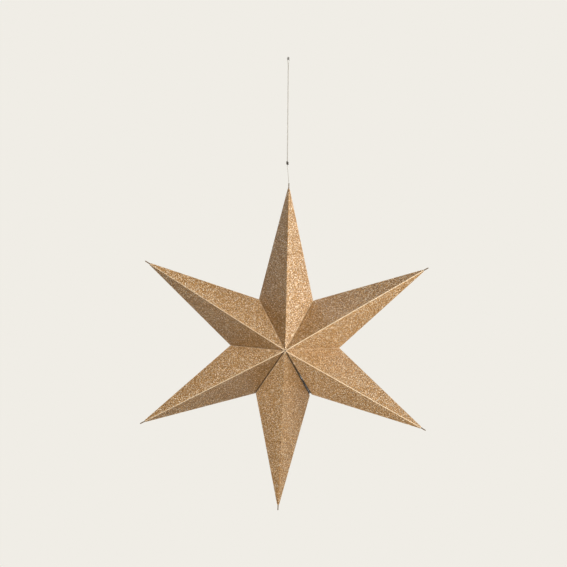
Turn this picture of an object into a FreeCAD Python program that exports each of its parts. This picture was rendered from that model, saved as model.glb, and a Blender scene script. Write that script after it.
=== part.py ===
import FreeCAD
import Part
import Sketcher

import math
import os

from FreeCAD import Placement, Rotation, Vector

# Hanging six-pointed star of folded glitter card, in millimetres, +Z up, seen from -Y.
# The origin is the top of the hanging loop. Six hollow arms stand round the star's centre, each
# folded from one sheet, with flaps at its base that are glued back to back with its neighbours'.
# The ring of arms closes between the lower right and the bottom arm, with hook and loop tape
# between the last flaps. A doubled thread with a knot passes through a hole in the top tip.

os.makedirs("parts", exist_ok=True)
doc = FreeCAD.newDocument("hanging_star")

# Driving sizes. Angles are in degrees, all the rest in millimetres.
SIZES = (
    ("arm_length", 225.0, "star centre to the point where an arm's four edges would meet"),
    ("valley_radius", 75.4, "star centre to the corner between two arms"),
    ("half_depth", 70.0, "star's middle plane to the point at the centre of each side"),
    ("card", 0.45, "thickness of the glitter card"),
    ("lean", 1.4, "how far the top arm leans clockwise as it hangs"),
    ("closing_gap", 2.1, "angle left open where the ring of arms is closed"),
    ("centre_relief", 1.2, "how far each arm's base corner is cut back from the centre line"),
    ("tip_cutback", 6.9, "how far short of the arm's end its faces stop"),
    ("tip_seal", 1.5, "length over which the faces are glued solid to the tongue"),
    ("tongue_width", 1.7, "width of the pressed tongue at an arm's tip"),
    ("tongue_end_width", 1.4, "width of the tongue at its outer end"),
    ("tongue_overrun", 1.0, "how far the tongue runs past the arm's end"),
    ("tab_width", 9.0, "width of the glued tab inside the back seam, at its widest"),
    ("flap_width", 18.0, "width of the glued flaps along an arm's base folds"),
    ("flap_from_middle", 1.0, "star's middle plane to the end of a flap beside the valley corner"),
    ("flap_from_axis", 10.0, "centre line through the star to a flap's other end"),
    ("tape_from_valley", 2.9, "valley corner in to the outer end of the closing tape"),
    ("tape_length", 22.5, "length of the closing tape, from its inner to its outer end"),
    ("tape_width", 5.0, "width of the closing tape, front to back"),
    ("hang_drop", 178.0, "top of the loop down to the thread hole"),
    ("hang_shift", 0.7, "how far right of the loop's top the thread hole hangs"),
    ("hole_radius", 0.45, "radius of the thread hole in the top arm's tongue"),
    ("hole_from_end", 5.0, "tongue's end down to the thread hole"),
    ("thread_diameter", 0.5, "diameter of one strand of the thread"),
    ("knot_radius", 1.9, "radius of the knot at its middle"),
    ("knot_end_radius", 1.0, "radius of the knot's flat ends, where the strands enter"),
    ("knot_length", 6.6, "length of the knot along the thread"),
    ("knot_drop", 145.6, "top of the loop down to the middle of the knot"),
    ("knot_shift", -1.2, "how far right of the loop's top the knot hangs"),
)

sheet = doc.addObject("Spreadsheet::Sheet", "Sizes")
for row, (alias, value, note) in enumerate(SIZES, start=1):
    sheet.set(f"A{row}", note)
    sheet.set(f"B{row}", str(value))
    sheet.setAlias(f"B{row}", alias)
doc.recompute()


def size(alias):
    """One driving size as a number."""
    return float(sheet.get(alias))


# Sizes that follow from the driving ones, as expressions.
HALF_PITCH = "((360 - Sizes.closing_gap) / 12)"
HALF_WIDTH = (
    f"(Sizes.valley_radius * sin({HALF_PITCH})"
    f" / (1 - Sizes.valley_radius * cos({HALF_PITCH}) / Sizes.arm_length))"
)
HALF_DEPTH = "Sizes.half_depth"
STEEPNESS = f"sqrt(1 / {HALF_WIDTH}^2 + 1 / {HALF_DEPTH}^2 + 1 / Sizes.arm_length^2)"
INSIDE = f"(1 - Sizes.card * {STEEPNESS})"
INSIDE_TAB = f"(1 - 2 * Sizes.card * {STEEPNESS})"
FACE_END = "(Sizes.arm_length - Sizes.tip_cutback)"
FACE_END_SHARE = f"(1 - {FACE_END} / Sizes.arm_length)"
HOLLOW_END = f"({FACE_END} - Sizes.tip_seal)"
HOLLOW_SHARE = f"({INSIDE} - {HOLLOW_END} / Sizes.arm_length)"
HOLLOW_TAB_SHARE = f"({INSIDE_TAB} - {HOLLOW_END} / Sizes.arm_length)"
TAB_TIP_PART = 0.4
TONGUE_END = "(Sizes.arm_length + Sizes.tongue_overrun)"
HOLE_HEIGHT = f"({TONGUE_END} - Sizes.hole_from_end)"


def origin_plane(body, role):
    """One of the body's own base planes, by its role."""
    for feature in body.Origin.OriginFeatures:
        if feature.Role == role:
            return feature
    raise ValueError(role)


def new_sketch(body, name, plane):
    """An empty sketch on one of the body's own base planes."""
    sketch = body.newObject("Sketcher::SketchObject", name)
    sketch.AttachmentSupport = [(origin_plane(body, plane), "")]
    sketch.MapMode = "FlatFace"
    return sketch


def worth(text):
    """The number that a size expression gives now."""
    found = sheet.evalExpression(text)
    return float(getattr(found, "Value", found))


def pin_down(sketch, point, place):
    """Fixes a sketch point at a place given as two expressions, each signed or plain 0."""
    for axis, kind, text in ((-2, "DistanceX", place[0]), (-1, "DistanceY", place[1])):
        if text == "0":
            sketch.addConstraint(Sketcher.Constraint("PointOnObject", *point, axis))
            continue
        if text.startswith("-"):
            ends = (*point, -1, 1)
            text = text[1:]
        else:
            ends = (-1, 1, *point)
        index = sketch.addConstraint(Sketcher.Constraint(kind, *ends, worth(text)))
        sketch.setExpression(f"Constraints[{index}]", text)


def polygon(sketch, places):
    """A closed outline whose corners are fixed by expressions."""
    corners = [Vector(worth(across), worth(up), 0) for across, up in places]
    lines = []
    for start, end in zip(corners, corners[1:] + corners[:1]):
        lines.append(sketch.addGeometry(Part.LineSegment(start, end), False))
    for line, after in zip(lines, lines[1:] + lines[:1]):
        sketch.addConstraint(Sketcher.Constraint("Coincident", line, 2, after, 1))
    for line, place in zip(lines, places):
        pin_down(sketch, (line, 1), place)


def raised(sketch, height):
    """Lifts a sketch off its plane by a height given as an expression."""
    sketch.setExpression("AttachmentOffset.Base.z", height)


def turning_about(axis):
    """A placement that sets the axis of a turn, so that an expression can set its angle."""
    return Placement(Vector(0, 0, 0), Rotation(axis, 1))


def rhombus(share):
    """The four corners of a share of the arm's cross-section at the star's centre."""
    across = f"{HALF_WIDTH} * {share}"
    deep = f"{HALF_DEPTH} * {share}"
    return [(across, "0"), ("0", deep), (f"-{across}", "0"), ("0", f"-{deep}")]


def hollow_outline(share, tab_share, tab_reach):
    """The hollow's section: a rhombus, one sheet smaller than the outside, and two sheets smaller
    beside the back ridge on the left, where the seam's tab is glued under the face."""
    across = f"{HALF_WIDTH} * {share}"
    deep = f"{HALF_DEPTH} * {share}"
    tab_deep = f"{HALF_DEPTH} * {tab_share}"
    tab_edge_in = f"{HALF_DEPTH} * ({tab_share} - {tab_reach} / {HALF_WIDTH})"
    tab_edge_out = f"{HALF_DEPTH} * ({share} - {tab_reach} / {HALF_WIDTH})"
    return [
        (across, "0"),
        ("0", deep),
        ("0", tab_deep),
        (f"-{tab_reach}", tab_edge_in),
        (f"-{tab_reach}", tab_edge_out),
        (f"-{across}", "0"),
        ("0", f"-{deep}"),
    ]


def add_faces(body):
    """The four long faces: a hollow pyramid of card with a seam tab inside its back ridge."""
    base = new_sketch(body, "FaceBase", "XY_Plane")
    polygon(base, rhombus("1"))
    top = new_sketch(body, "FaceTop", "XY_Plane")
    raised(top, FACE_END)
    polygon(top, rhombus(FACE_END_SHARE))
    outside = body.newObject("PartDesign::AdditiveLoft", "Outside")
    outside.Profile = base
    outside.Sections = [top]
    outside.Ruled = True

    hollow_base = new_sketch(body, "HollowBase", "XY_Plane")
    polygon(hollow_base, hollow_outline(INSIDE, INSIDE_TAB, "Sizes.tab_width"))
    hollow_top = new_sketch(body, "HollowTop", "XY_Plane")
    raised(hollow_top, HOLLOW_END)
    tab_tip = f"({TAB_TIP_PART} * {HOLLOW_TAB_SHARE} * {HALF_WIDTH})"
    polygon(hollow_top, hollow_outline(HOLLOW_SHARE, HOLLOW_TAB_SHARE, tab_tip))
    hollow = body.newObject("PartDesign::SubtractiveLoft", "Hollow")
    hollow.Profile = hollow_base
    hollow.Sections = [hollow_top]
    hollow.Ruled = True


def add_base_cut(body):
    """Cuts the base to the two planes in which the arm meets its neighbours."""
    cut_sketch = new_sketch(body, "BaseOutline", "XZ_Plane")
    side = "Sizes.valley_radius"
    side_height = f"({side} / tan({HALF_PITCH}))"
    nose = f"(Sizes.centre_relief * tan({HALF_PITCH}))"
    below = "Sizes.centre_relief"
    polygon(
        cut_sketch,
        [
            (nose, "Sizes.centre_relief"),
            (side, side_height),
            (side, f"-{below}"),
            (f"-{side}", f"-{below}"),
            (f"-{side}", side_height),
            (f"-{nose}", "Sizes.centre_relief"),
        ],
    )
    base_cut = body.newObject("PartDesign::Pocket", "BaseCut")
    base_cut.Profile = cut_sketch
    base_cut.SideType = "Symmetric"
    base_cut.Type = "Length"
    base_cut.setExpression("Length", f"4 * {HALF_DEPTH}")


def add_flaps(body):
    """Four flaps along the base folds, turned in flat against the neighbouring arms."""
    sketch = new_sketch(body, "FlapOutline", "YZ_Plane")
    sketch.AttachmentOffset = turning_about(Vector(1, 0, 0))
    sketch.setExpression("AttachmentOffset.Rotation.Angle", HALF_PITCH)

    valley = Vector(0, size("valley_radius"), 0)
    centre = Vector(size("half_depth"), 0, 0)
    along = (centre - valley).normalize()
    from_middle = size("flap_from_middle")
    from_axis = size("flap_from_axis")
    outer_start = valley + along * (from_middle / along.x)
    outer_end = centre - along * (from_axis / -along.y)
    inner_start = outer_start - Vector(0, size("flap_width") / along.x, 0)
    inner_end = outer_end - Vector(size("flap_width") / -along.y, 0, 0)

    fold = sketch.addGeometry(Part.LineSegment(valley, centre), True)
    pin_down(sketch, (fold, 1), ("0", "Sizes.valley_radius"))
    pin_down(sketch, (fold, 2), (HALF_DEPTH, "0"))
    corners = [outer_start, outer_end, inner_end, inner_start]
    edges = []
    for start, end in zip(corners, corners[1:] + corners[:1]):
        edges.append(sketch.addGeometry(Part.LineSegment(start, end), False))
    for edge, after in zip(edges, edges[1:] + edges[:1]):
        sketch.addConstraint(Sketcher.Constraint("Coincident", edge, 2, after, 1))
    outer, axis_end, inner, middle_end = edges
    sketch.addConstraint(Sketcher.Constraint("PointOnObject", outer, 1, fold))
    sketch.addConstraint(Sketcher.Constraint("PointOnObject", outer, 2, fold))
    sketch.addConstraint(Sketcher.Constraint("Parallel", inner, fold))
    sketch.addConstraint(Sketcher.Constraint("Vertical", middle_end))
    sketch.addConstraint(Sketcher.Constraint("Horizontal", axis_end))
    measures = (
        (("DistanceX", -1, 1, outer, 1), from_middle, "Sizes.flap_from_middle"),
        (("DistanceY", -1, 1, outer, 2), from_axis, "Sizes.flap_from_axis"),
        (("Distance", inner, 1, fold), size("flap_width"), "Sizes.flap_width"),
    )
    for kind, number, text in measures:
        index = sketch.addConstraint(Sketcher.Constraint(*kind, number))
        sketch.setExpression(f"Constraints[{index}]", text)

    flap = body.newObject("PartDesign::Pad", "Flap")
    flap.Profile = sketch
    flap.setExpression("Length", "Sizes.card")
    flap.Reversed = True
    to_front = body.newObject("PartDesign::Mirrored", "FlapToFront")
    to_front.MirrorPlane = (origin_plane(body, "XZ_Plane"), [""])
    to_left = body.newObject("PartDesign::Mirrored", "FlapToLeft")
    to_left.MirrorPlane = (origin_plane(body, "YZ_Plane"), [""])
    flaps = body.newObject("PartDesign::MultiTransform", "Flaps")
    flaps.Originals = [flap]
    flaps.Transformations = [to_front, to_left]
    body.Tip = flaps


def add_tongue(body):
    """The narrow pressed tongue in which an arm's tip ends, two sheets thick."""
    sketch = new_sketch(body, "TongueOutline", "XZ_Plane")
    wide = "(Sizes.tongue_width / 2)"
    narrow = "(Sizes.tongue_end_width / 2)"
    polygon(
        sketch,
        [
            (wide, HOLLOW_END),
            (narrow, TONGUE_END),
            (f"-{narrow}", TONGUE_END),
            (f"-{wide}", HOLLOW_END),
        ],
    )
    tongue = body.newObject("PartDesign::Pad", "Tongue")
    tongue.Profile = sketch
    tongue.SideType = "Symmetric"
    tongue.setExpression("Length", "2 * Sizes.card")


def add_thread_hole(body):
    """The hole for the thread, through the tongue of the top arm."""
    sketch = new_sketch(body, "ThreadHoleOutline", "XZ_Plane")
    centre = Vector(0, worth(HOLE_HEIGHT), 0)
    circle = sketch.addGeometry(Part.Circle(centre, Vector(0, 0, 1), size("hole_radius")), False)
    pin_down(sketch, (circle, 3), ("0", HOLE_HEIGHT))
    index = sketch.addConstraint(Sketcher.Constraint("Radius", circle, size("hole_radius")))
    sketch.setExpression(f"Constraints[{index}]", "Sizes.hole_radius")
    hole = body.newObject("PartDesign::Pocket", "ThreadHole")
    hole.Profile = sketch
    hole.SideType = "Symmetric"
    hole.Type = "Length"
    hole.setExpression("Length", "4 * Sizes.card")


CENTRE_X = f"(Sizes.hang_shift - {HOLE_HEIGHT} * sin(Sizes.lean))"
CENTRE_Z = f"(-Sizes.hang_drop - {HOLE_HEIGHT} * cos(Sizes.lean))"


def add_arm(label, steps):
    """One folded arm, turned clockwise from the top arm by a number of equal steps."""
    body = doc.addObject("PartDesign::Body", label)
    body.Label = label
    add_faces(body)
    add_base_cut(body)
    add_flaps(body)
    add_tongue(body)
    if steps == 0:
        add_thread_hole(body)
    body.Placement = turning_about(Vector(0, 1, 0))
    body.setExpression("Placement.Base.x", CENTRE_X)
    body.setExpression("Placement.Base.z", CENTRE_Z)
    body.setExpression("Placement.Rotation.Angle", f"Sizes.lean + {steps} * 2 * {HALF_PITCH}")
    return body


# The arms are counted both ways round from the top, and the closing gap lies between the last two.
CLOCKWISE = ("arm_top", "arm_upper_right", "arm_lower_right")
ANTICLOCKWISE = ("arm_upper_left", "arm_lower_left", "arm_bottom")
nodes = [add_arm(label, steps) for steps, label in enumerate(CLOCKWISE)]
nodes += [add_arm(label, -steps) for steps, label in enumerate(ANTICLOCKWISE, start=1)]


def add_tape(label, flap_angle, side):
    """One half of the closing tape, from a last flap to the middle of the gap. The gap opens
    outwards from the centre line, so the tape's pile stands higher towards its outer end."""
    body = doc.addObject("PartDesign::Body", label)
    body.Label = label
    sketch = new_sketch(body, "TapeOutline", "XZ_Plane")
    outer_end = "(Sizes.valley_radius - Sizes.tape_from_valley)"
    inner_end = f"({outer_end} - Sizes.tape_length)"
    polygon(
        sketch,
        [
            ("0", inner_end),
            ("0", outer_end),
            (f"{side}({outer_end} * tan(Sizes.closing_gap / 2))", outer_end),
            (f"{side}({inner_end} * tan(Sizes.closing_gap / 2))", inner_end),
        ],
    )
    tape = body.newObject("PartDesign::Pad", "Tape")
    tape.Profile = sketch
    tape.SideType = "Symmetric"
    tape.setExpression("Length", "Sizes.tape_width")
    body.Placement = turning_about(Vector(0, 1, 0))
    body.setExpression("Placement.Base.x", CENTRE_X)
    body.setExpression("Placement.Base.z", CENTRE_Z)
    body.setExpression("Placement.Rotation.Angle", flap_angle)
    return body


# Hook and loop tape closes the ring of arms. The lower right arm is two whole pitches from the
# top arm, and its last flap, which carries the loop half, is half a pitch more.
LOOP_FLAP = f"(Sizes.lean + 5 * {HALF_PITCH})"
HOOK_FLAP = f"({LOOP_FLAP} + Sizes.closing_gap)"
nodes.append(add_tape("closure_loop_tape", LOOP_FLAP, ""))
nodes.append(add_tape("closure_hook_tape", HOOK_FLAP, "-"))


def add_knot():
    """The knot: a barrel with flat ends, in which both strands end."""
    body = doc.addObject("PartDesign::Body", "thread_knot")
    body.Label = "thread_knot"
    sketch = new_sketch(body, "KnotProfile", "XZ_Plane")
    flat = size("knot_end_radius")
    half = size("knot_length") / 2
    widest = size("knot_radius")
    middle = (widest**2 - flat**2 - half**2) / (2 * (widest - flat))
    sweep = math.atan2(half, flat - middle)
    low_end = Vector(flat, -half, 0)
    high_end = Vector(flat, half, 0)
    axis_low = Vector(0, -half, 0)
    axis_high = Vector(0, half, 0)
    bulge = Part.Circle(Vector(middle, 0, 0), Vector(0, 0, 1), widest - middle)
    bottom = sketch.addGeometry(Part.LineSegment(axis_low, low_end), False)
    arc = sketch.addGeometry(Part.ArcOfCircle(bulge, -sweep, sweep), False)
    top = sketch.addGeometry(Part.LineSegment(high_end, axis_high), False)
    core = sketch.addGeometry(Part.LineSegment(axis_high, axis_low), False)
    sketch.addConstraint(Sketcher.Constraint("Coincident", bottom, 2, arc, 1))
    sketch.addConstraint(Sketcher.Constraint("Coincident", arc, 2, top, 1))
    sketch.addConstraint(Sketcher.Constraint("Coincident", top, 2, core, 1))
    sketch.addConstraint(Sketcher.Constraint("Coincident", core, 2, bottom, 1))
    pin_down(sketch, (bottom, 1), ("0", "-(Sizes.knot_length / 2)"))
    pin_down(sketch, (bottom, 2), ("Sizes.knot_end_radius", "-(Sizes.knot_length / 2)"))
    pin_down(sketch, (top, 1), ("Sizes.knot_end_radius", "(Sizes.knot_length / 2)"))
    sketch.addConstraint(Sketcher.Constraint("Vertical", core))
    index = sketch.addConstraint(Sketcher.Constraint("Radius", arc, widest - middle))
    bulge_size = (
        "((Sizes.knot_radius - Sizes.knot_end_radius) / 2"
        " + Sizes.knot_length^2 / (8 * (Sizes.knot_radius - Sizes.knot_end_radius)))"
    )
    sketch.setExpression(f"Constraints[{index}]", bulge_size)
    turned = body.newObject("PartDesign::Revolution", "KnotBarrel")
    turned.Profile = sketch
    turned.ReferenceAxis = (sketch, ["V_Axis"])
    turned.Angle = 360
    body.setExpression("Placement.Base.x", "Sizes.knot_shift")
    body.setExpression("Placement.Base.z", "-Sizes.knot_drop")
    return body


nodes.append(add_knot())

# The thread's route, chosen by hand: points in order along the strand, with the bend radius where
# the strand goes tightly round something. The upper loop is open at its top like a small eye.
LOOP_ROUTE = (
    ((-1.55, 0.0, -142.3), None),
    ((-1.55, 0.0, -139.6), None),
    ((-0.42, 0.0, -9.0), None),
    ((-1.30, 0.0, -4.0), None),
    ((-1.30, 0.0, -0.25), None),
    ((1.30, 0.0, -0.25), None),
    ((1.30, 0.0, -4.0), None),
    ((0.42, 0.0, -9.0), None),
    ((-0.85, 0.0, -139.6), None),
    ((-0.85, 0.0, -142.3), None),
)
LOWER_ROUTE = (
    ((-1.2, -0.38, -148.9), None),
    ((-1.2, -0.38, -151.4), None),
    ((0.8, -0.78, -171.5), None),
    ((0.7, -0.78, -178.0), 0.5),
    ((0.7, 0.78, -178.0), 0.5),
    ((0.8, 0.78, -171.5), None),
    ((-1.2, 0.38, -151.4), None),
    ((-1.2, 0.38, -148.9), None),
)
SHARE_OF_RUN = 0.45


def rounded_path(name, route):
    """Straight runs joined by tangent arcs, as large as their two runs allow."""
    points = [Vector(*place) for place, radius in route]
    edges = []
    start = points[0]
    for before, corner, after, entry in zip(points, points[1:], points[2:], route[1:]):
        back = (before - corner).normalize()
        onward = (after - corner).normalize()
        half_turn = (math.pi - back.getAngle(onward)) / 2
        shorter = min((before - corner).Length, (after - corner).Length)
        radius = entry[1] or SHARE_OF_RUN * shorter / math.tan(half_turn)
        reach = radius * math.tan(half_turn)
        arc_start = corner + back * reach
        arc_end = corner + onward * reach
        to_middle = (back + onward).normalize()
        arc_middle = corner + to_middle * (radius / math.cos(half_turn) - radius)
        edges.append(Part.LineSegment(start, arc_start).toShape())
        edges.append(Part.Arc(arc_start, arc_middle, arc_end).toShape())
        start = arc_end
        print(name, "bend radius", round(radius, 2))
    edges.append(Part.LineSegment(start, points[-1]).toShape())
    return Part.Wire(edges)


def add_strand(label, route):
    """A round tube along a route of the thread."""
    path = rounded_path(label, route)
    radius = size("thread_diameter") / 2
    start = path.Edges[0].Vertexes[0].Point
    direction = path.Edges[0].tangentAt(path.Edges[0].FirstParameter)
    section = Part.Wire([Part.Circle(start, direction, radius).toShape()])
    strand = doc.addObject("Part::Feature", label)
    strand.Label = label
    strand.Shape = path.makePipeShell([section], True, False)
    wanted = math.pi * radius**2 * path.Length
    print(label, "length", round(path.Length, 2), "volume share", strand.Shape.Volume / wanted)
    return strand


nodes.append(add_strand("thread_loop", LOOP_ROUTE))
nodes.append(add_strand("thread_lower", LOWER_ROUTE))

doc.recompute()
for item in doc.Objects:
    if "Invalid" in item.State or "Error" in item.State:
        raise RuntimeError(f"{item.Name} failed: {item.State}")
for node in nodes:
    if node.Shape.isNull() or not node.Shape.isValid() or len(node.Shape.Solids) != 1:
        raise RuntimeError(f"{node.Label} isn't one valid solid")
for node in nodes:
    node.Shape.exportStep(f"parts/{node.Label}.step")
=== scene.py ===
import math

import bmesh
import bpy
from mathutils import Matrix, Vector


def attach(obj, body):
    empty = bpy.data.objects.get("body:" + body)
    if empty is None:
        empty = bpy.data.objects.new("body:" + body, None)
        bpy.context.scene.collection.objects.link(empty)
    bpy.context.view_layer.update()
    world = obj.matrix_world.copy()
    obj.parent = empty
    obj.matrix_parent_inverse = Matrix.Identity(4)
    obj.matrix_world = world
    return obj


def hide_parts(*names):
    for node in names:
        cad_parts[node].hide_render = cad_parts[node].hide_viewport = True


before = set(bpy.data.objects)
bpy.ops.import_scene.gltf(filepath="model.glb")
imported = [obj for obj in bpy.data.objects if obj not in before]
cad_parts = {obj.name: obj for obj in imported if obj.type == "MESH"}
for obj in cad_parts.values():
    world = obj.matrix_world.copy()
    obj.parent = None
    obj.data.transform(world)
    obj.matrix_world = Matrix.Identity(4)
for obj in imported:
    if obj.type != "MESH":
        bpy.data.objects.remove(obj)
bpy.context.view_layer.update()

# Camera. The photograph was taken from a few metres away, a little above the star's middle and
# hardly to its left, with a long lens held almost level.
STAR_MIDDLE = Vector((-0.00470, 0.0, -0.39893))
CAMERA_DISTANCE = 3.4425
CAMERA_ABOVE = math.radians(4.02)
CAMERA_LEFT = math.radians(0.415)
CAMERA_DOWN = math.radians(2.56)
CAMERA_TURN = math.radians(0.384)
LENS = 158.53
NEAREST_SEEN = 0.1
FARTHEST_SEEN = 60.0

camera_data = bpy.data.cameras.new("camera")
camera_data.lens = LENS
camera_data.clip_start = NEAREST_SEEN
camera_data.clip_end = FARTHEST_SEEN
camera = bpy.data.objects.new("camera", camera_data)
bpy.context.scene.collection.objects.link(camera)
camera.location = STAR_MIDDLE + CAMERA_DISTANCE * Vector((
    -math.cos(CAMERA_ABOVE) * math.sin(CAMERA_LEFT),
    -math.cos(CAMERA_ABOVE) * math.cos(CAMERA_LEFT),
    math.sin(CAMERA_ABOVE),
))
camera.rotation_euler = (math.pi / 2 - CAMERA_DOWN, 0.0, -CAMERA_TURN)
bpy.context.scene.camera = camera
bpy.context.scene.view_settings.view_transform = "Standard"


# Hanging thread. One thin metallic thread of two twisted plies is doubled into a loop above the
# knot. Its legs are wound about each other below the small open eye at the top, then run straight.
class Value:
    """A socket in a node tree. A sum on values adds its Math nodes."""

    def __init__(self, paint, socket):
        self.paint = paint
        self.socket = socket

    def math(self, operation, first, second=0.0):
        settings = {"operation": operation}
        return self.paint.node("ShaderNodeMath", settings, {0: first, 1: second})

    def other(self, out):
        """Another output of the same node."""
        return Value(self.paint, self.socket.node.outputs[out])

    def __add__(self, other):
        return self.math("ADD", self, other)

    def __sub__(self, other):
        return self.math("SUBTRACT", self, other)

    def __rsub__(self, other):
        return self.math("SUBTRACT", other, self)

    def __mul__(self, other):
        return self.math("MULTIPLY", self, other)

    def __abs__(self):
        return self.math("ABSOLUTE", self)

    def least(self, other):
        return self.math("MINIMUM", self, other)

    def most(self, other):
        return self.math("MAXIMUM", self, other)

    def rise(self, low, high):
        """0 below low, 1 above high, and a smooth rise between them."""
        settings = {"interpolation_type": "SMOOTHSTEP"}
        sockets = {"Value": self, "From Min": low, "From Max": high}
        return self.paint.node("ShaderNodeMapRange", settings, sockets)

    __radd__ = __add__
    __rmul__ = __mul__


class Nodes:
    """The node tree of a material or of the world."""

    def __init__(self, tree):
        self.tree = tree

    def fill(self, socket, value):
        """Links a value to a socket, or sets the socket to a plain number or colour."""
        if isinstance(value, Value):
            self.tree.links.new(value.socket, socket)
        else:
            socket.default_value = value

    def node(self, kind, settings=None, sockets=None, out=0):
        """Adds a node with its settings, fills its sockets and gives one of its outputs."""
        made = self.tree.nodes.new(kind)
        for setting, choice in (settings or {}).items():
            setattr(made, setting, choice)
        for key, value in (sockets or {}).items():
            if isinstance(key, int):
                self.fill(made.inputs[key], value)
            else:
                named = [s for s in made.inputs if key in (s.identifier, s.name)]
                self.fill(named[0], value)
        return Value(self, made.outputs[out])


class Paint(Nodes):
    """A material and the nodes that feed its shader."""

    def __init__(self, name, roughness, metallic=0.0):
        self.material = bpy.data.materials.new(name)
        self.material.use_nodes = True
        super().__init__(self.material.node_tree)
        self.shader = self.tree.nodes["Principled BSDF"]
        self.shader.inputs["Roughness"].default_value = roughness
        self.shader.inputs["Metallic"].default_value = metallic

    def place(self):
        return self.node("ShaderNodeTexCoord", out="Object")

    def carried(self, name):
        """A vector that the mesh carries on its points."""
        return self.node("ShaderNodeAttribute", {"attribute_name": name}, out="Vector")

    def noise(self, place, scale, detail=2.0):
        return self.node(
            "ShaderNodeTexNoise", None, {"Vector": place, "Scale": scale, "Detail": detail}
        )

    def blend(self, share, first, second):
        """A colour that lies between two colours."""
        return self.node(
            "ShaderNodeMix",
            {"data_type": "RGBA"},
            {"Factor_Float": share, "A_Color": first, "B_Color": second},
            out=2,
        )

    def vector(self, operation, first, second=None, out=0):
        sockets = {0: first}
        if second is not None:
            sockets[1] = second
        return self.node("ShaderNodeVectorMath", {"operation": operation}, sockets, out)

    def bump(self, height, distance, strength):
        sockets = {"Height": height, "Distance": distance, "Strength": strength}
        return self.node("ShaderNodeBump", None, sockets)

    def use(self, name, value):
        self.fill(self.shader.inputs[name], value)


PLY_RADIUS = 0.00013
PLY_OFFSET = 0.000135
PLY_PITCH = 0.0017
FIRST_PLY_SIDE = Vector((0.0, 1.0, 0.02))
POINT_SPACING = 0.00016
THREAD_ROUGHNESS = 0.38
THREAD_METALLIC = 0.55
THREAD_GRAIN = 2600.0
THREAD_PATCHES = 180.0
THREAD_RELIEF = 0.00004
COIL_SHADE_SHARE = 0.75
COIL_SHADE_FADE = 0.0006
COIL_SHADE_COLOUR = (0.035, 0.028, 0.020, 1.0)
LOOP_ROUTE = (
    (-0.00155, 0.0, -0.1423),
    (-0.00155, 0.0, -0.1396),
    (-0.00042, 0.0, -0.0090),
    (-0.00130, 0.0, -0.0040),
    (-0.00130, 0.0, -0.00025),
    (0.00130, 0.0, -0.00025),
    (0.00130, 0.0, -0.0040),
    (0.00042, 0.0, -0.0090),
    (-0.00085, 0.0, -0.1396),
    (-0.00085, 0.0, -0.1423),
)
LOOP_STEPS = 900
LEG_TURNS = 9
LEG_TWIST_TOP = -0.0085
LEG_TWIST_END = -0.0470
LEG_SQUEEZE = 0.68
MIDLINE_TOP = Vector((0.0, 0.0, -0.0090))
MIDLINE_END = Vector((-0.00120, 0.0, -0.1396))
EYE_COIL_RADIUS = 0.00078
EYE_COIL_TOP = -0.0010
EYE_COIL_END = -0.0042
EYE_COIL_TURNS = 5
EYE_COIL_STEPS = 120


def twisted_thread(name, dark, middle, light):
    """Twisted metallic yarn in three tones, with painted shade where it is wound close in the eye.
    """
    paint = Paint(name, THREAD_ROUGHNESS, THREAD_METALLIC)
    grain = paint.noise(paint.place(), THREAD_GRAIN)
    patches = paint.noise(paint.place(), THREAD_PATCHES, 1.0)
    height = paint.node("ShaderNodeSeparateXYZ", None, {0: paint.place()}, "Z")
    plain = paint.blend(patches.rise(0.35, 0.65), dark, middle)
    yarn = paint.blend(grain.rise(0.45, 0.75), plain, light)
    # Painted shade: the thread is darkened above the eye coil's end, where the close coil shades
    # itself.
    coil_shade = height.rise(EYE_COIL_END - COIL_SHADE_FADE, EYE_COIL_END) * COIL_SHADE_SHARE
    paint.use("Base Color", paint.blend(coil_shade, yarn, COIL_SHADE_COLOUR))
    paint.use("Normal", paint.bump(grain, THREAD_RELIEF, 0.5))
    return paint


thread_paint = twisted_thread(
    "twisted_thread", (0.20, 0.175, 0.14, 1.0), (0.30, 0.27, 0.22, 1.0), (0.44, 0.38, 0.29, 1.0)
)


def show(name, mesh, *paints):
    """Puts a mesh in the scene as an object of its own."""
    shown = bpy.data.objects.new(name, mesh)
    bpy.context.scene.collection.objects.link(shown)
    for paint in paints:
        mesh.materials.append(paint.material)
    return shown


def spline_points(route, resolution):
    """Points on the smooth line that a route's points steer."""
    data = bpy.data.curves.new("route", "CURVE")
    data.dimensions = "3D"
    data.resolution_u = resolution
    spline = data.splines.new("NURBS")
    spline.points.add(len(route) - 1)
    for point, place in zip(spline.points, route):
        point.co = (*place, 1.0)
    spline.order_u = 3
    spline.use_endpoint_u = True
    holder = bpy.data.objects.new("route", data)
    line = bpy.data.meshes.new_from_object(holder)
    places = [vertex.co.copy() for vertex in line.vertices]
    bpy.data.objects.remove(holder)
    bpy.data.meshes.remove(line)
    return places


def spaced(places, spacing):
    """Leaves out points that lie nearer than the spacing to the one kept before them."""
    kept = [places[0]]
    for place in places[1:-1]:
        if (place - kept[-1]).length >= spacing:
            kept.append(place)
    kept.append(places[-1])
    return kept


def side_directions(places, first_side):
    """At each point of a line, the way along it and a way sideways that doesn't twist."""
    sides = []
    side = first_side
    for index in range(len(places)):
        before = places[max(index - 1, 0)]
        after = places[min(index + 1, len(places) - 1)]
        along = (after - before).normalized()
        side = (side - along * side.dot(along)).normalized()
        sides.append((along, side))
    return sides


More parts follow.
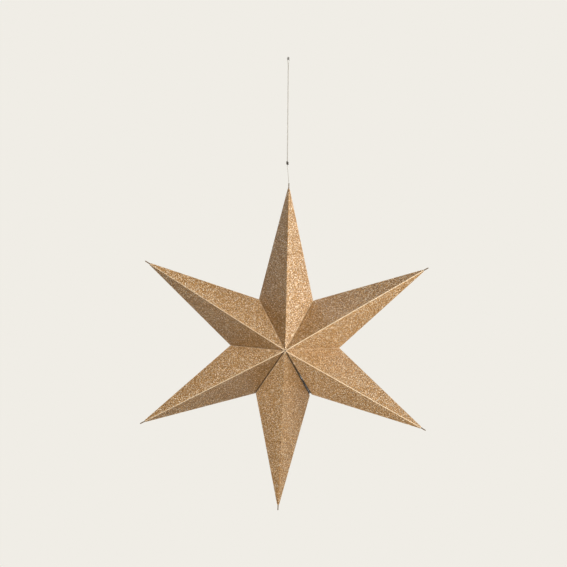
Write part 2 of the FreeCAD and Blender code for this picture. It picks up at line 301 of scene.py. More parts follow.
def wound_thread(name, lines):
    """Thread along each of the lines, every one made of two plies wound about each other."""
    joined = bmesh.new()
    for places in lines:
        for ply in range(2):
            data = bpy.data.curves.new(name, "CURVE")
            data.dimensions = "3D"
            data.bevel_depth = PLY_RADIUS
            data.bevel_resolution = 1
            data.use_fill_caps = True
            spline = data.splines.new("POLY")
            spline.points.add(len(places) - 1)
            run = 0.0
            previous = places[0]
            directions = side_directions(places, FIRST_PLY_SIDE)
            for point, place, (along, side) in zip(spline.points, places, directions):
                run += (place - previous).length
                previous = place
                turn = math.tau * run / PLY_PITCH + math.pi * ply
                across = along.cross(side)
                shift = side * math.cos(turn) + across * math.sin(turn)
                point.co = (*(place + shift * PLY_OFFSET), 1.0)
            holder = bpy.data.objects.new(name, data)
            tube = bpy.data.meshes.new_from_object(holder)
            joined.from_mesh(tube)
            bpy.data.objects.remove(holder)
            bpy.data.meshes.remove(tube)
    bmesh.ops.recalc_face_normals(joined, faces=joined.faces)
    for face in joined.faces:
        face.smooth = True
    mesh = bpy.data.meshes.new(name)
    joined.to_mesh(mesh)
    joined.free()
    return mesh


def wind_legs(place):
    """Turns a point of the loop's legs about the line midway between them."""
    share = (LEG_TWIST_TOP - place.z) / (LEG_TWIST_TOP - LEG_TWIST_END)
    share = min(max(share, 0.0), 1.0)
    down = (MIDLINE_TOP.z - place.z) / (MIDLINE_TOP.z - MIDLINE_END.z)
    middle = MIDLINE_TOP.lerp(MIDLINE_END, max(down, 0.0))
    middle.z = place.z
    closeness = 1.0 - (1.0 - LEG_SQUEEZE) * math.sin(math.pi * share) ** 0.5
    turned = Matrix.Rotation(math.tau * LEG_TURNS * share, 3, "Z") @ (place - middle)
    return middle + turned * closeness


def eye_coil():
    """The short coil of thread that fills the eye, from its top down."""
    coil = []
    for step in range(EYE_COIL_STEPS + 1):
        share = step / EYE_COIL_STEPS
        turn = math.tau * EYE_COIL_TURNS * share
        coil.append(Vector((
            EYE_COIL_RADIUS * math.sin(turn),
            EYE_COIL_RADIUS * math.cos(turn),
            EYE_COIL_TOP + (EYE_COIL_END - EYE_COIL_TOP) * share,
        )))
    return coil


legs = [wind_legs(place) for place in spline_points(LOOP_ROUTE, LOOP_STEPS)]
loop_places = spaced(legs, POINT_SPACING)
loop_mesh = wound_thread("hanging_thread_loop", [loop_places, eye_coil()])
loop = show("hanging_thread_loop", loop_mesh, thread_paint)
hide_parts("thread_loop")
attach(loop, "root")

# Lower thread. The same doubled thread goes on from the knot down to the top tip, through the
# small hole in its pressed tongue from front to back, and up again.
LOWER_ROUTE = (
    (-0.0012, -0.00038, -0.1489),
    (-0.0012, -0.00038, -0.1514),
    (0.0008, -0.00078, -0.1715),
    (0.0007, -0.00078, -0.1780),
    (0.0007, 0.00078, -0.1780),
    (0.0008, 0.00078, -0.1715),
    (-0.0012, 0.00038, -0.1514),
    (-0.0012, 0.00038, -0.1489),
)
LOWER_STEPS = 400
lower_places = spaced(spline_points(LOWER_ROUTE, LOWER_STEPS), POINT_SPACING)
lower = show("tip_thread", wound_thread("tip_thread", [lower_places]), thread_paint)
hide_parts("thread_lower")
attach(lower, "root")

# Knot. A triple overhand knot pulled tight in the doubled thread. Both strands go down through
# its middle, come back up round themselves in three turns, and go down through it once more.
KNOT_CENTRE = Vector((-0.0012, 0.0, -0.1456))
KNOT_TOP = 0.0033
KNOT_SHOULDER = 0.0026
KNOT_STEPS = 40
KNOT_SPACING = 0.00009
CORE_RADIUS = 0.00035
CORE_FRONT = 0.0003
WRAP_START = (0.0006, -0.0022)
WRAP_END = (0.0004, 0.0023)
WRAP_REACH = 0.0020
WRAP_NARROW = 0.00132
WRAP_WIDE = 0.00158
WRAP_TURNS = 3
WRAP_STEPS = 42
STRAND_OFFSET = 0.00027
STRAND_EXIT = 0.00038
# The knot's thread is a darker copy of the hanging thread's paint: painted shade for the shadow
# inside the tight knot.
knot_shaded_paint = twisted_thread(
    "knot_thread_painted_shade", (0.04, 0.032, 0.022, 1.0), (0.08, 0.064, 0.045, 1.0), (0.17, 0.14, 0.10, 1.0)
)


def knot_strand(side):
    """One of the knot's two strands, from its top to its bottom."""
    offset = side * STRAND_OFFSET
    route = [
        Vector((side * CORE_RADIUS, 0.0, KNOT_TOP)),
        Vector((side * CORE_RADIUS, 0.0, KNOT_SHOULDER)),
        Vector((side * CORE_RADIUS, CORE_RADIUS, 0.0)),
        Vector((side * CORE_RADIUS, WRAP_START[0], WRAP_START[1] + offset)),
    ]
    for step in range(WRAP_STEPS + 1):
        share = step / WRAP_STEPS
        turn = math.tau * WRAP_TURNS * share
        radius = WRAP_NARROW + (WRAP_WIDE - WRAP_NARROW) * math.cos(math.pi * share) ** 2
        route.append(Vector((
            radius * math.sin(turn),
            radius * math.cos(turn),
            WRAP_REACH * (2.0 * share - 1.0) + offset,
        )))
    route += [
        Vector((0.0, WRAP_END[0], WRAP_END[1] + offset)),
        Vector((0.0, side * CORE_RADIUS - CORE_FRONT, 0.0)),
        Vector((0.0, side * STRAND_EXIT, -KNOT_SHOULDER)),
        Vector((0.0, side * STRAND_EXIT, -KNOT_TOP)),
    ]
    places = spaced(spline_points(route, KNOT_STEPS), KNOT_SPACING)
    return [KNOT_CENTRE + place for place in places]


knot_strands = [knot_strand(-1), knot_strand(1)]
knot = show("overhand_knot", wound_thread("overhand_knot", knot_strands), knot_shaded_paint)
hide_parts("thread_knot")
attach(knot, "root")

# Six folded arms. Each is one sheet of card with fine gold glitter on its outside, scored and
# folded into a four-sided spike, with a glued seam down the back and flaps round its open base
# that are glued to the neighbours' flaps. The tip ends in a narrow tongue of bare card.
ARM_COUNT = 6
JOINT_DEGREES = 2.1
HALF_SHARE_DEGREES = (360.0 - JOINT_DEGREES) / (2 * ARM_COUNT)
SIDE_PLAY = 0.0003
HALF_PITCH = math.radians(HALF_SHARE_DEGREES) - SIDE_PLAY
ARM_LENGTH = 0.225
VALLEY_RADIUS = 0.0754
HALF_DEPTH = 0.070
CARD = 0.00045
HALF_WIDTH = (
    VALLEY_RADIUS * math.sin(HALF_PITCH)
    / (1.0 - VALLEY_RADIUS * math.cos(HALF_PITCH) / ARM_LENGTH)
)
CENTRE_RELIEF = 0.0006
CORNER_CUT = 0.0009
FACE_END = 0.2181
FOLD_RADIUS = 0.0007
FOLD_STEPS = 4
RIDGE_BEVEL = 0.00045
SEAM_BEVEL = 0.0005
SEAM_STEP = 0.00048
TAB_WIDTH = 0.009
TAB_MITRE = 0.015
TAB_TIP_WIDTH = 0.0011
TAB_TIP_MITRE = 0.004
FLAP_AXIS = 0.010
FLAP_MIDDLE = 0.001
FLAP_WIDTH = 0.018
TONGUE_START = 0.2166
TONGUE_END = 0.226
TONGUE_WIDTH = 0.0017
TONGUE_END_WIDTH = 0.0014
HOLE_HEIGHT = 0.221
HOLE_RADIUS = 0.00045
HOLE_SEGMENTS = 20
FAN_CUTS = 6
LEVEL_STEP = 0.012
OUTER_FULLNESS = 0.985
SAME_PLACE = 0.000001
SHARP_ANGLE = math.radians(35.0)
MILLIMETRES_IN_METRE = 1000.0

# Each arm's name, node, angle from straight up in degrees, fold marks, lean of its glitter and
# bows of its four faces in millimetres. The fold marks are how pale the front ridge is painted,
# as wear and as a painted highlight where it catches the light, how strong the painted shade
# along the base fold is and how far that painted shade reaches in metres. The painted shade is
# on the upright arm's right if positive, and on its left if negative.
ARMS = (
    ("top", "arm_top", 1.4, (0.0, 0.0, 0.001), 0.36, (0.25, 0.30, -0.20, 0.25)),
    ("upper_right", "arm_upper_right", 61.05, (0.9, 0.0, 0.001), 0.27, (0.30, -0.25, 0.30, 0.20)),
    ("lower_right", "arm_lower_right", 120.7, (0.7, 1.0, 0.0011), 0.31, (-0.25, 0.30, 0.25, -0.30)),
    ("bottom", "arm_bottom", -177.55, (0.0, -1.0, 0.0004), 0.28, (0.30, 0.30, -0.25, 0.25)),
    ("lower_left", "arm_lower_left", -117.9, (0.75, -0.8, 0.0026), 0.36, (0.25, -0.30, 0.20, 0.30)),
    ("upper_left", "arm_upper_left", -58.25, (0.6, -0.2, 0.0020), 0.25, (-0.20, 0.25, 0.30, -0.25)),
)

# The four long faces in the order of the bows: right or left, and front or back.
SIDES = ((1, -1), (-1, -1), (1, 1), (-1, 1))


def face_normal(across, deep):
    """The outward direction of a long face, right or left of the ridge and front or back."""
    return Vector((across / HALF_WIDTH, deep / HALF_DEPTH, 1.0 / ARM_LENGTH)).normalized()


def base_normal(across):
    """The outward direction of the plane in which the arm meets a neighbour."""
    return Vector((across * math.cos(HALF_PITCH), 0.0, -math.sin(HALF_PITCH)))


def base_place(radius, depth, across, deep):
    """A point on that plane, by its distance from the centre line and from the middle plane."""
    return Vector((
        across * radius * math.sin(HALF_PITCH), deep * depth, radius * math.cos(HALF_PITCH)
    ))


def whole(sheet):
    """All of a sheet's points, edges and faces."""
    return sheet.verts[:] + sheet.edges[:] + sheet.faces[:]


def add_long_faces(sheet):
    """One long face from five corners, mirrored to the left and to the back."""
    ridge_base = Vector((0.0, -HALF_DEPTH, 0.0))
    valley = base_place(VALLEY_RADIUS, 0.0, 1, -1)
    tip = Vector((0.0, 0.0, ARM_LENGTH))
    fold = (valley - ridge_base).normalized()
    normal = face_normal(1, -1)
    upward = normal.cross(fold)
    if upward.z < 0:
        upward.negate()
    turn = normal.angle(base_normal(1))
    inset = FOLD_RADIUS * math.tan(turn / 2)
    corner_depth = HALF_DEPTH * (1.0 - CORNER_CUT / VALLEY_RADIUS)
    corner = base_place(CORNER_CUT, corner_depth, 1, -1) + upward * inset
    side = tip - valley
    valley_corner = valley + side * (inset / side.dot(upward))
    share = 1.0 - FACE_END / ARM_LENGTH
    ring = (
        ridge_base.lerp(tip, CENTRE_RELIEF / ARM_LENGTH),
        corner,
        valley_corner,
        Vector((HALF_WIDTH * share, 0.0, FACE_END)),
        Vector((0.0, -HALF_DEPTH * share, FACE_END)),
    )
    face = sheet.faces.new([sheet.verts.new(place) for place in ring])
    face.normal_update()
    if face.normal.dot(normal) < 0:
        face.normal_flip()
    for axis in ("X", "Y"):
        bmesh.ops.mirror(sheet, geom=whole(sheet), axis=axis, merge_dist=SAME_PLACE)
    bmesh.ops.recalc_face_normals(sheet, faces=sheet.faces)


def on_line(edge, axis):
    """True for an edge that lies in one of the arm's two middle planes."""
    return all(abs(vertex.co[axis]) < SAME_PLACE for vertex in edge.verts)


def add_seam(sheet):
    """Cuts the sheet open down the back ridge and folds a tab in under the left face."""
    ridge = [e for e in sheet.edges if on_line(e, 0) and e.verts[0].co.y > 0.0]
    bmesh.ops.split_edges(sheet, edges=ridge)
    along = Vector((0.0, -HALF_DEPTH, ARM_LENGTH)).normalized()
    to_right = face_normal(1, 1).cross(along)
    if to_right.x < 0:
        to_right.negate()
    to_left = Vector((-to_right.x, to_right.y, to_right.z))
    shift = to_right * (SEAM_STEP / -face_normal(-1, 1).dot(to_right))
    under = [
        e for e in sheet.edges
        if on_line(e, 0) and e.verts[0].co.y > 0.0
        and e.link_faces[0].calc_center_median().x > 0.0
    ]
    for vertex in under[0].verts:
        vertex.co += shift
    made = bmesh.ops.extrude_edge_only(sheet, edges=under)["geom"]
    for vertex in [g for g in made if isinstance(g, bmesh.types.BMVert)]:
        if vertex.co.z < ARM_LENGTH / 2:
            vertex.co += to_left * TAB_WIDTH + along * TAB_MITRE
        else:
            vertex.co += to_left * TAB_TIP_WIDTH - along * TAB_TIP_MITRE
    return under


def round_folds(sheet, edges, width):
    """Bends the card round at its folds instead of at a sharp line."""
    bmesh.ops.bevel(
        sheet, geom=edges, offset=width, offset_type="OFFSET", segments=FOLD_STEPS, profile=0.5,
        affect="EDGES", clamp_overlap=False, loop_slide=True, material=-1,
    )


def add_base_folds(sheet):
    """Bends the four base edges round and lays a flap from each against the neighbour."""
    for across, deep in SIDES:
        base = [
            e for e in sheet.edges
            if e.is_boundary and e.calc_length() > HALF_DEPTH
            and max(v.co.z for v in e.verts) < ARM_LENGTH / 2
            and (e.verts[0].co + e.verts[1].co).x * across > 0.0
            and (e.verts[0].co + e.verts[1].co).y * deep > 0.0
        ]
        normal = face_normal(across, deep)
        middle = (base[0].verts[0].co + base[0].verts[1].co) / 2
        spun = bmesh.ops.spin(
            sheet, geom=base + list(base[0].verts), cent=middle - normal * FOLD_RADIUS,
            axis=normal.cross(base_normal(across)), angle=normal.angle(base_normal(across)),
            steps=FOLD_STEPS, use_merge=False,
        )["geom_last"]
        rim = [g for g in spun if isinstance(g, bmesh.types.BMEdge)]
        made = bmesh.ops.extrude_edge_only(sheet, edges=rim)["geom"]
        ends = [g for g in made if isinstance(g, bmesh.types.BMVert)]
        ends.sort(key=lambda vertex: abs(vertex.co.y))
        slope = VALLEY_RADIUS / HALF_DEPTH
        reach = FLAP_WIDTH * math.hypot(1.0, slope)
        near_radius = VALLEY_RADIUS - FLAP_MIDDLE * slope - reach
        far_depth = HALF_DEPTH - (FLAP_AXIS + reach) / slope
        ends[0].co = base_place(near_radius, FLAP_MIDDLE, across, deep)
        ends[1].co = base_place(FLAP_AXIS, far_depth, across, deep)


def cut_grid(sheet):
    """Fine cuts from the tip to the base and across, so that the faces can bow."""
    tip = Vector((0.0, 0.0, ARM_LENGTH))
    valley = base_place(VALLEY_RADIUS, 0.0, 1, -1)
    for cut in range(1, FAN_CUTS):
        share = cut / FAN_CUTS
        for across in (1, -1):
            slope = Vector((ARM_LENGTH - share * valley.z, 0.0, across * share * valley.x))
            bmesh.ops.bisect_plane(sheet, geom=whole(sheet), plane_co=tip, plane_no=slope)
    for level in range(1, round(FACE_END / LEVEL_STEP)):
        height = Vector((0.0, 0.0, level * LEVEL_STEP))
        bmesh.ops.bisect_plane(
            sheet, geom=whole(sheet), plane_co=height, plane_no=Vector((0.0, 0.0, 1.0))
        )


def bow_faces(sheet, bows):
    """Bows each long face a little between its folds, as card does, but no flap or tab."""
    valley = base_place(VALLEY_RADIUS, 0.0, 1, -1)
    for vertex in sheet.verts:
        x, y, z = vertex.co
        fullness = abs(x) / HALF_WIDTH + abs(y) / HALF_DEPTH + z / ARM_LENGTH
        if fullness < OUTER_FULLNESS:
            continue
        across = 1 if x > 0 else -1
        deep = 1 if y > 0 else -1
        sideways = abs(x) * ARM_LENGTH / (valley.x * (ARM_LENGTH - z) + abs(x) * valley.z)
        start = sideways * valley.z
        upwards = (z - start) / (ARM_LENGTH - start)
        bow = bows[SIDES.index((across, deep))] / MILLIMETRES_IN_METRE
        swell = math.sin(math.pi * min(max(sideways, 0.0), 1.0))
        swell *= math.sin(math.pi * min(max(upwards, 0.0), 1.0))
        vertex.co += face_normal(across, deep) * bow * swell


def add_tongue(sheet, with_hole):
    """The tongue's two pressed layers, each a flat outline, and the thread's hole in them."""
    wide = TONGUE_WIDTH / 2
    narrow = TONGUE_END_WIDTH / 2
    for deep in (-1, 1):
        ring = [
            sheet.verts.new((across, deep * CARD, height))
            for across, height in (
                (wide, TONGUE_START), (narrow, TONGUE_END),
                (-narrow, TONGUE_END), (-wide, TONGUE_START),
            )
        ]
        rim = [sheet.edges.new(pair) for pair in zip(ring, ring[1:] + ring[:1])]
        if with_hole:
            placed = Matrix.Translation((0.0, deep * CARD, HOLE_HEIGHT))
            hole = bmesh.ops.create_circle(
                sheet, cap_ends=False, segments=HOLE_SEGMENTS, radius=HOLE_RADIUS,
                matrix=placed @ Matrix.Rotation(math.pi / 2, 4, "X"),
            )["verts"]
            rim += list({edge for vertex in hole for edge in vertex.link_edges})
        filled = bmesh.ops.triangle_fill(
            sheet, edges=rim, use_beauty=True, use_dissolve=False, normal=(0.0, deep, 0.0)
        )["geom"]
        for face in [g for g in filled if isinstance(g, bmesh.types.BMFace)]:
            face.material_index = 1
            face.normal_update()
            if face.normal.y * deep < 0:
                face.normal_flip()


GLITTER_ROUGHNESS = 0.5
GLITTER_SPECULAR = 0.25
LACQUER_CELLS = 1600.0
LACQUER_DARK = (0.050, 0.016, 0.002, 1.0)
LACQUER_LIGHT = (0.60, 0.335, 0.125, 1.0)
CLOUD_SCALE = 22.0
CLOUD_SHARE = 0.15
CLOUD_COLOUR = (0.20, 0.10, 0.03, 1.0)
FLAKE_CHANCE = (0.89, 0.92)
FLAKE_COLOUR = (1.0, 0.86, 0.66, 1.0)
FLAKE_METALLIC = 0.5
TILT_CELLS = 1150.0
TILT_REACH = 0.45
RIDGE_WEAR_AND_HIGHLIGHT = (0.0003, 0.0008)
RIDGE_WEAR_AND_HIGHLIGHT_START = (0.001, 0.004)
FOLD_WEAR = (0.0004, 0.0010)
FOLD_WEAR_SHARE = 0.2
RUBBING_SCALE = 260.0
RUBBING = (0.15, 0.45)
WEAR_AND_HIGHLIGHT_COLOUR = (0.88, 0.70, 0.48, 1.0)
BASE_SHADE_CORE = 0.3
BASE_SHADE_COLOUR = (0.030, 0.014, 0.008, 1.0)


def glitter_card():
    """Gold glitter on card: brown-gold lacquer, pale flakes that lean all ways, worn folds, a
    painted highlight on the front ridge and painted shade along a base fold.
    """
    paint = Paint("gold_glitter_card", GLITTER_ROUGHNESS)
    paint.use("Specular IOR Level", GLITTER_SPECULAR)
    place = paint.carried("sheet_place")
    tilt_cells = {"Vector": place, "Scale": TILT_CELLS}
    lacquer_cells = {"Vector": place, "Scale": LACQUER_CELLS}
    tilts = paint.node("ShaderNodeTexVoronoi", None, tilt_cells, "Color")
    tones = paint.node("ShaderNodeTexVoronoi", None, lacquer_cells, "Color")
    tone = paint.node("ShaderNodeSeparateXYZ", None, {0: tones}, "X")
    flake = tone.other("Y").rise(*FLAKE_CHANCE)
    apart = paint.node("ShaderNodeSeparateXYZ", None, {0: place}, "X")
    from_ridge = abs(apart)
    from_middle = abs(apart.other("Y"))
    height = apart.other("Z")
    from_base = abs(from_ridge * math.cos(HALF_PITCH) - height * math.sin(HALF_PITCH))
    # The fold marks: how pale the front ridge is, as wear and as a painted highlight, and the
    # painted shade along a base fold.
    ridge_wear_and_highlight = paint.node("ShaderNodeSeparateXYZ", None, {0: paint.carried("fold_wear_highlight_shade")}, "X")
    base_shade_side = ridge_wear_and_highlight.other("Y")
    # Painted shade along one base fold, where the crease or the closing joint lies in shadow.
    shaded_side = (base_shade_side * apart * MILLIMETRES_IN_METRE).least(abs(base_shade_side)).most(0.0)
    base_shade_reach = ridge_wear_and_highlight.other("Z")
    base_fold_shade = (1.0 - from_base.rise(base_shade_reach * BASE_SHADE_CORE, base_shade_reach)) * shaded_side
    ridge = (1.0 - from_ridge.rise(*RIDGE_WEAR_AND_HIGHLIGHT)) * ridge_wear_and_highlight * height.rise(*RIDGE_WEAR_AND_HIGHLIGHT_START)
    other_folds = (1.0 - from_middle.least(from_base).rise(*FOLD_WEAR)) * FOLD_WEAR_SHARE
    rubbing = paint.noise(place, RUBBING_SCALE, 3.0).rise(*RUBBING)
    clouds = paint.noise(place, CLOUD_SCALE).rise(0.3, 0.7) * CLOUD_SHARE
    lacquer = paint.blend(tone, LACQUER_DARK, LACQUER_LIGHT)
    lacquer = paint.blend(clouds, lacquer, CLOUD_COLOUR)
    flecked = paint.blend(flake, lacquer, FLAKE_COLOUR)
    # Pale wear on all folds; on the front ridge the pale is also a painted highlight.
    worn_and_highlit = paint.blend(ridge.most(other_folds) * rubbing, flecked, WEAR_AND_HIGHLIGHT_COLOUR)
    # The painted shade along the base fold is laid over all of it.
    paint.use("Base Color", paint.blend(base_fold_shade, worn_and_highlit, BASE_SHADE_COLOUR))
    paint.use("Metallic", flake * (1.0 - base_fold_shade) * FLAKE_METALLIC)
    facing = paint.node("ShaderNodeNewGeometry", out="Normal")
    lean = paint.vector("CROSS_PRODUCT", paint.carried("lean_axis"), facing)
    tilt = paint.vector("SUBTRACT", tilts, (0.5, 0.5, 0.5))
    tilt = paint.vector("MULTIPLY", tilt, (TILT_REACH, TILT_REACH, TILT_REACH))
    tilt = paint.vector("SUBTRACT", tilt, lean)
    paint.use("Normal", paint.vector("NORMALIZE", paint.vector("ADD", facing, tilt)))
    return paint


BARE_ROUGHNESS = 0.85
CARD_FIBRES = 1400.0
CARD_RELIEF = 0.00005


def bare_card(name, dark, light):
    """Plain card: soft fibres in two near shades."""
    paint = Paint(name, BARE_ROUGHNESS)
    fibres = paint.noise(paint.carried("sheet_place"), CARD_FIBRES, 3.0)
    paint.use("Base Color", paint.blend(fibres.rise(0.3, 0.7), dark, light))
    paint.use("Normal", paint.bump(fibres, CARD_RELIEF, 0.4))
    return paint


glitter_paint = glitter_card()
inside_paint = bare_card("bare_card_inside", (0.105, 0.068, 0.038, 1.0), (0.18, 0.12, 0.07, 1.0))
edge_paint = bare_card("cut_card_edge", (0.30, 0.235, 0.165, 1.0), (0.48, 0.385, 0.28, 1.0))


def carry(mesh, name, vectors):
    """Stores a vector on each point of a mesh for its material."""
    made = mesh.attributes.new(name, "FLOAT_VECTOR", "POINT")
    for item, vector in zip(made.data, vectors):
        item.vector = vector


for arm_name, node, angle, fold_wear_highlight_shade, lean, bows in ARMS:
    sheet = bmesh.new()
    add_long_faces(sheet)
    seam = add_seam(sheet)
    round_folds(sheet, seam, SEAM_BEVEL)
    ridges = [
        e for e in sheet.edges
        if not e.is_boundary and e.calc_length() > HALF_DEPTH
        and (on_line(e, 1) or on_line(e, 0) and e.verts[0].co.y < 0.0)
    ]
    round_folds(sheet, ridges, RIDGE_BEVEL)
    add_base_folds(sheet)
    cut_grid(sheet)
    bow_faces(sheet, bows)
    add_tongue(sheet, node == "arm_top")
    places = [vertex.co.copy() for vertex in sheet.verts]
    turned = Matrix.Rotation(math.radians(angle), 4, "Y")
    sheet.transform(Matrix.Translation(STAR_MIDDLE) @ turned)
    for face in sheet.faces:
        face.smooth = True
    mesh = bpy.data.meshes.new("card_" + arm_name)
    sheet.to_mesh(mesh)
    sheet.free()
    carry(mesh, "sheet_place", places)
    lean_axis = turned.to_3x3() @ Vector((0.0, 0.0, lean))
    carry(mesh, "lean_axis", [lean_axis] * len(places))
    carry(mesh, "fold_wear_highlight_shade", [Vector(fold_wear_highlight_shade)] * len(places))
    arm = show("card_" + arm_name, mesh, glitter_paint, inside_paint, edge_paint)
    thick = arm.modifiers.new("card_thickness", "SOLIDIFY")
    thick.thickness = CARD
    thick.offset = -1.0
    thick.use_even_offset = True
    thick.use_quality_normals = True
    thick.material_offset = 1
    thick.material_offset_rim = 2
    arm.data = bpy.data.meshes.new_from_object(
        arm.evaluated_get(bpy.context.evaluated_depsgraph_get())
    )
    arm.modifiers.clear()
    arm.data.set_sharp_from_angle(angle=SHARP_ANGLE)
    weighted = arm.modifiers.new("flat_faces", "WEIGHTED_NORMAL")
    weighted.keep_sharp = True
    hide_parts(node)
    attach(arm, "root")

# Closing tape. Hook and loop tape holds the ring of arms shut: a strip of loops is glued to the
# lower right arm's last flap and a strip of hooks to the bottom arm's. The gap between them opens
# outwards, so each strip is a wedge of dense dark pile with its hooks or loops on top.
TAPE_START = 0.0500
TAPE_END = 0.0725
TAPE_WIDTH = 0.0050
TAPE_RISE = math.tan(math.radians(JOINT_DEGREES / 2))
DENSE_SHARE = 0.72
PILE_STEP = 0.00075
PILE_EDGE = 0.0004
PILE_ROUGHNESS = 0.95
PILE_TONES = 1500.0
PILE_DARK = (0.012, 0.007, 0.005, 1.0)
PILE_LIGHT = (0.034, 0.022, 0.016, 1.0)
LINE_TWIST = 2.4
ROW_TWIST = 1.7
FIBRE_RADIUS = 0.00006
LOOP_FIBRE = (
    (0.0, 0.0, -0.00016), (0.00018, 0.0, -0.00013), (0.00024, 0.0, 0.0),
    (0.00018, 0.0, 0.00013), (0.0, 0.0, 0.00016),
)
HOOK_FIBRE = (
    (0.0, 0.0, 0.0), (0.00017, 0.0, 0.0), (0.00024, 0.00007, 0.0),
    (0.00022, 0.00016, 0.0), (0.00014, 0.00018, 0.0),
)
ARM_ANGLES = {arm[0]: arm[2] for arm in ARMS}
LOOPS_ANGLE = ARM_ANGLES["lower_right"] + HALF_SHARE_DEGREES
HOOKS_ANGLE = ARM_ANGLES["bottom"] - HALF_SHARE_DEGREES
TAPES = (
    ("tape_of_loops", "closure_loop_tape", LOOPS_ANGLE, 1, LOOP_FIBRE),
    ("tape_of_hooks", "closure_hook_tape", HOOKS_ANGLE, -1, HOOK_FIBRE),
)
tape_paint = Paint("dark_pile", PILE_ROUGHNESS)
tape_paint.use("Specular IOR Level", 0.0)
pile_tone = tape_paint.noise(tape_paint.place(), PILE_TONES).rise(0.3, 0.7)
tape_paint.use("Base Color", tape_paint.blend(pile_tone, PILE_DARK, PILE_LIGHT))


def fibre_mesh(fibre):
    """One hook or loop: a thin thread along its points, standing towards +X."""
    data = bpy.data.curves.new("fibre", "CURVE")
    data.dimensions = "3D"
    data.bevel_depth = FIBRE_RADIUS
    data.bevel_resolution = 0
    data.use_fill_caps = True
    spline = data.splines.new("POLY")
    spline.points.add(len(fibre) - 1)
    for point, place in zip(spline.points, fibre):
        point.co = (*place, 1.0)
    holder = bpy.data.objects.new("fibre", data)
    made = bpy.data.meshes.new_from_object(holder)
    bpy.data.objects.remove(holder)
    return made


for tape_name, node, angle, side, fibre in TAPES:
    strip = bmesh.new()
    bmesh.ops.create_cube(strip, size=1.0)
    for vertex in strip.verts:
        height = TAPE_END if vertex.co.z > 0.0 else TAPE_START
        lifted = DENSE_SHARE * TAPE_RISE * height if vertex.co.x * side > 0.0 else 0.0
        vertex.co = (side * lifted, math.copysign(TAPE_WIDTH / 2, vertex.co.y), height)
    single = fibre_mesh(fibre)
    lines = round((TAPE_END - TAPE_START - 2 * PILE_EDGE) / PILE_STEP)
    rows = round((TAPE_WIDTH - 2 * PILE_EDGE) / PILE_STEP)
    for line in range(lines + 1):
        height = TAPE_START + PILE_EDGE + line * PILE_STEP
        for row in range(rows + 1):
            across = PILE_EDGE - TAPE_WIDTH / 2 + row * (TAPE_WIDTH - 2 * PILE_EDGE) / rows
            foot = Vector((side * DENSE_SHARE * TAPE_RISE * height, across, height))
            twist = Matrix.Rotation(LINE_TWIST * line + ROW_TWIST * row, 4, "X")
            facing = Matrix.Rotation(0.0 if side > 0 else math.pi, 4, "Z")
            before = len(strip.verts)
            strip.from_mesh(single)
            strip.verts.ensure_lookup_table()
            placed = Matrix.Translation(foot) @ facing @ twist
            bmesh.ops.transform(strip, matrix=placed, verts=strip.verts[before:])
    bpy.data.meshes.remove(single)
    bmesh.ops.recalc_face_normals(strip, faces=strip.faces)
    strip.transform(
        Matrix.Translation(STAR_MIDDLE) @ Matrix.Rotation(math.radians(angle), 4, "Y")
    )
    tape_mesh = bpy.data.meshes.new(tape_name)
    strip.to_mesh(tape_mesh)
    strip.free()
    tape = show(tape_name, tape_mesh, tape_paint)
    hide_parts(node)
    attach(tape, "root")

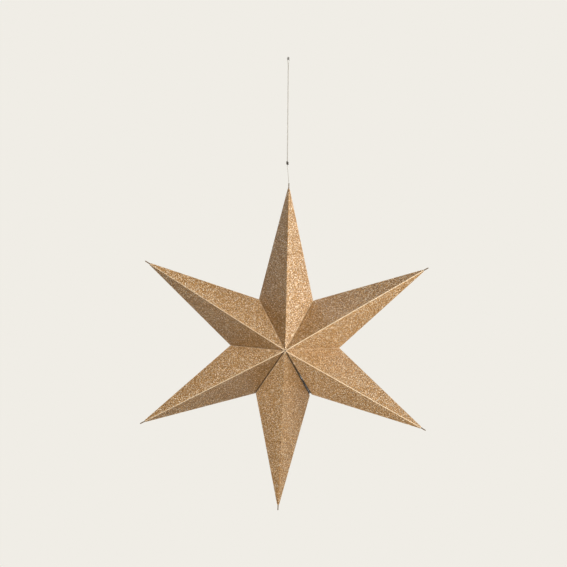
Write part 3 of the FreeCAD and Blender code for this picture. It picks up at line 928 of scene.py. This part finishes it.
# Floor and backdrop. A pale floor well below the hanging star, fading out at its rim into a plain
# pale backdrop that camera and mirror rays see.
FLOOR_HEIGHT = -1.25
FLOOR_RADIUS = 2.2
FLOOR_SEGMENTS = 96
FLOOR_ROUGHNESS = 0.9
FLOOR_COLOUR = (0.66, 0.64, 0.60, 1.0)
FADE_START = 0.6 * FLOOR_RADIUS
FADE_END = 0.98 * FLOOR_RADIUS
BACKDROP = (0.871, 0.847, 0.791, 1.0)
floor_bmesh = bmesh.new()
bmesh.ops.create_circle(
    floor_bmesh, cap_ends=True, segments=FLOOR_SEGMENTS, radius=FLOOR_RADIUS,
    matrix=Matrix.Translation((0.0, 0.0, FLOOR_HEIGHT)),
)
floor_mesh = bpy.data.meshes.new("floor")
floor_bmesh.to_mesh(floor_mesh)
floor_bmesh.free()
floor_paint = Paint("pale_floor", FLOOR_ROUGHNESS)
floor_paint.use("Base Color", FLOOR_COLOUR)
flat_place = floor_paint.vector("MULTIPLY", floor_paint.place(), (1.0, 1.0, 0.0))
floor_reach = floor_paint.vector("LENGTH", flat_place, out="Value")
floor_paint.use("Alpha", 1.0 - floor_reach.rise(FADE_START, FADE_END))
floor = show("floor", floor_mesh, floor_paint)

AMBIENT = 0.10
world = bpy.data.worlds.new("studio")
bpy.context.scene.world = world
world.use_nodes = True
surroundings = Nodes(world.node_tree)
rays = surroundings.node("ShaderNodeLightPath", out="Is Camera Ray")
seen = rays.most(rays.other("Is Glossy Ray")).most(rays.other("Is Transmission Ray"))
background = world.node_tree.nodes["Background"]
surroundings.fill(background.inputs["Color"], BACKDROP)
surroundings.fill(background.inputs["Strength"], AMBIENT + seen * (1.0 - AMBIENT))

# Studio lights. Large soft boxes round the star, by direction, distance, size and power. The
# strongest stands in front, two on the right brighten the faces that turn that way, and two
# behind keep the back readable.
LAMPS = (
    ("front", 0.0, 5.0, 2.2, 1.1, 34.5),
    ("high_front", 20.0, 35.0, 2.2, 1.1, 16.8),
    ("right", 69.0, 6.0, 2.2, 1.1, 15.5),
    ("near_right", 85.0, 18.0, 1.5, 0.7, 9.6),
    ("left", -30.0, 20.0, 2.2, 1.1, 4.8),
    ("back_right", 168.0, 30.0, 2.4, 1.2, 20.0),
    ("back_left", -156.0, 25.0, 2.4, 1.2, 22.0),
)
for lamp_name, azimuth, elevation, distance, width, power in LAMPS:
    light = bpy.data.lights.new(lamp_name, "AREA")
    light.shape = "DISK"
    light.size = width
    light.energy = power
    lamp = bpy.data.objects.new(lamp_name, light)
    bpy.context.scene.collection.objects.link(lamp)
    turn = math.radians(azimuth)
    lift = math.radians(elevation)
    outward = Vector((
        math.sin(turn) * math.cos(lift), -math.cos(turn) * math.cos(lift), math.sin(lift)
    ))
    lamp.location = STAR_MIDDLE + outward * distance
    lamp.rotation_euler = outward.to_track_quat("Z", "Y").to_euler()
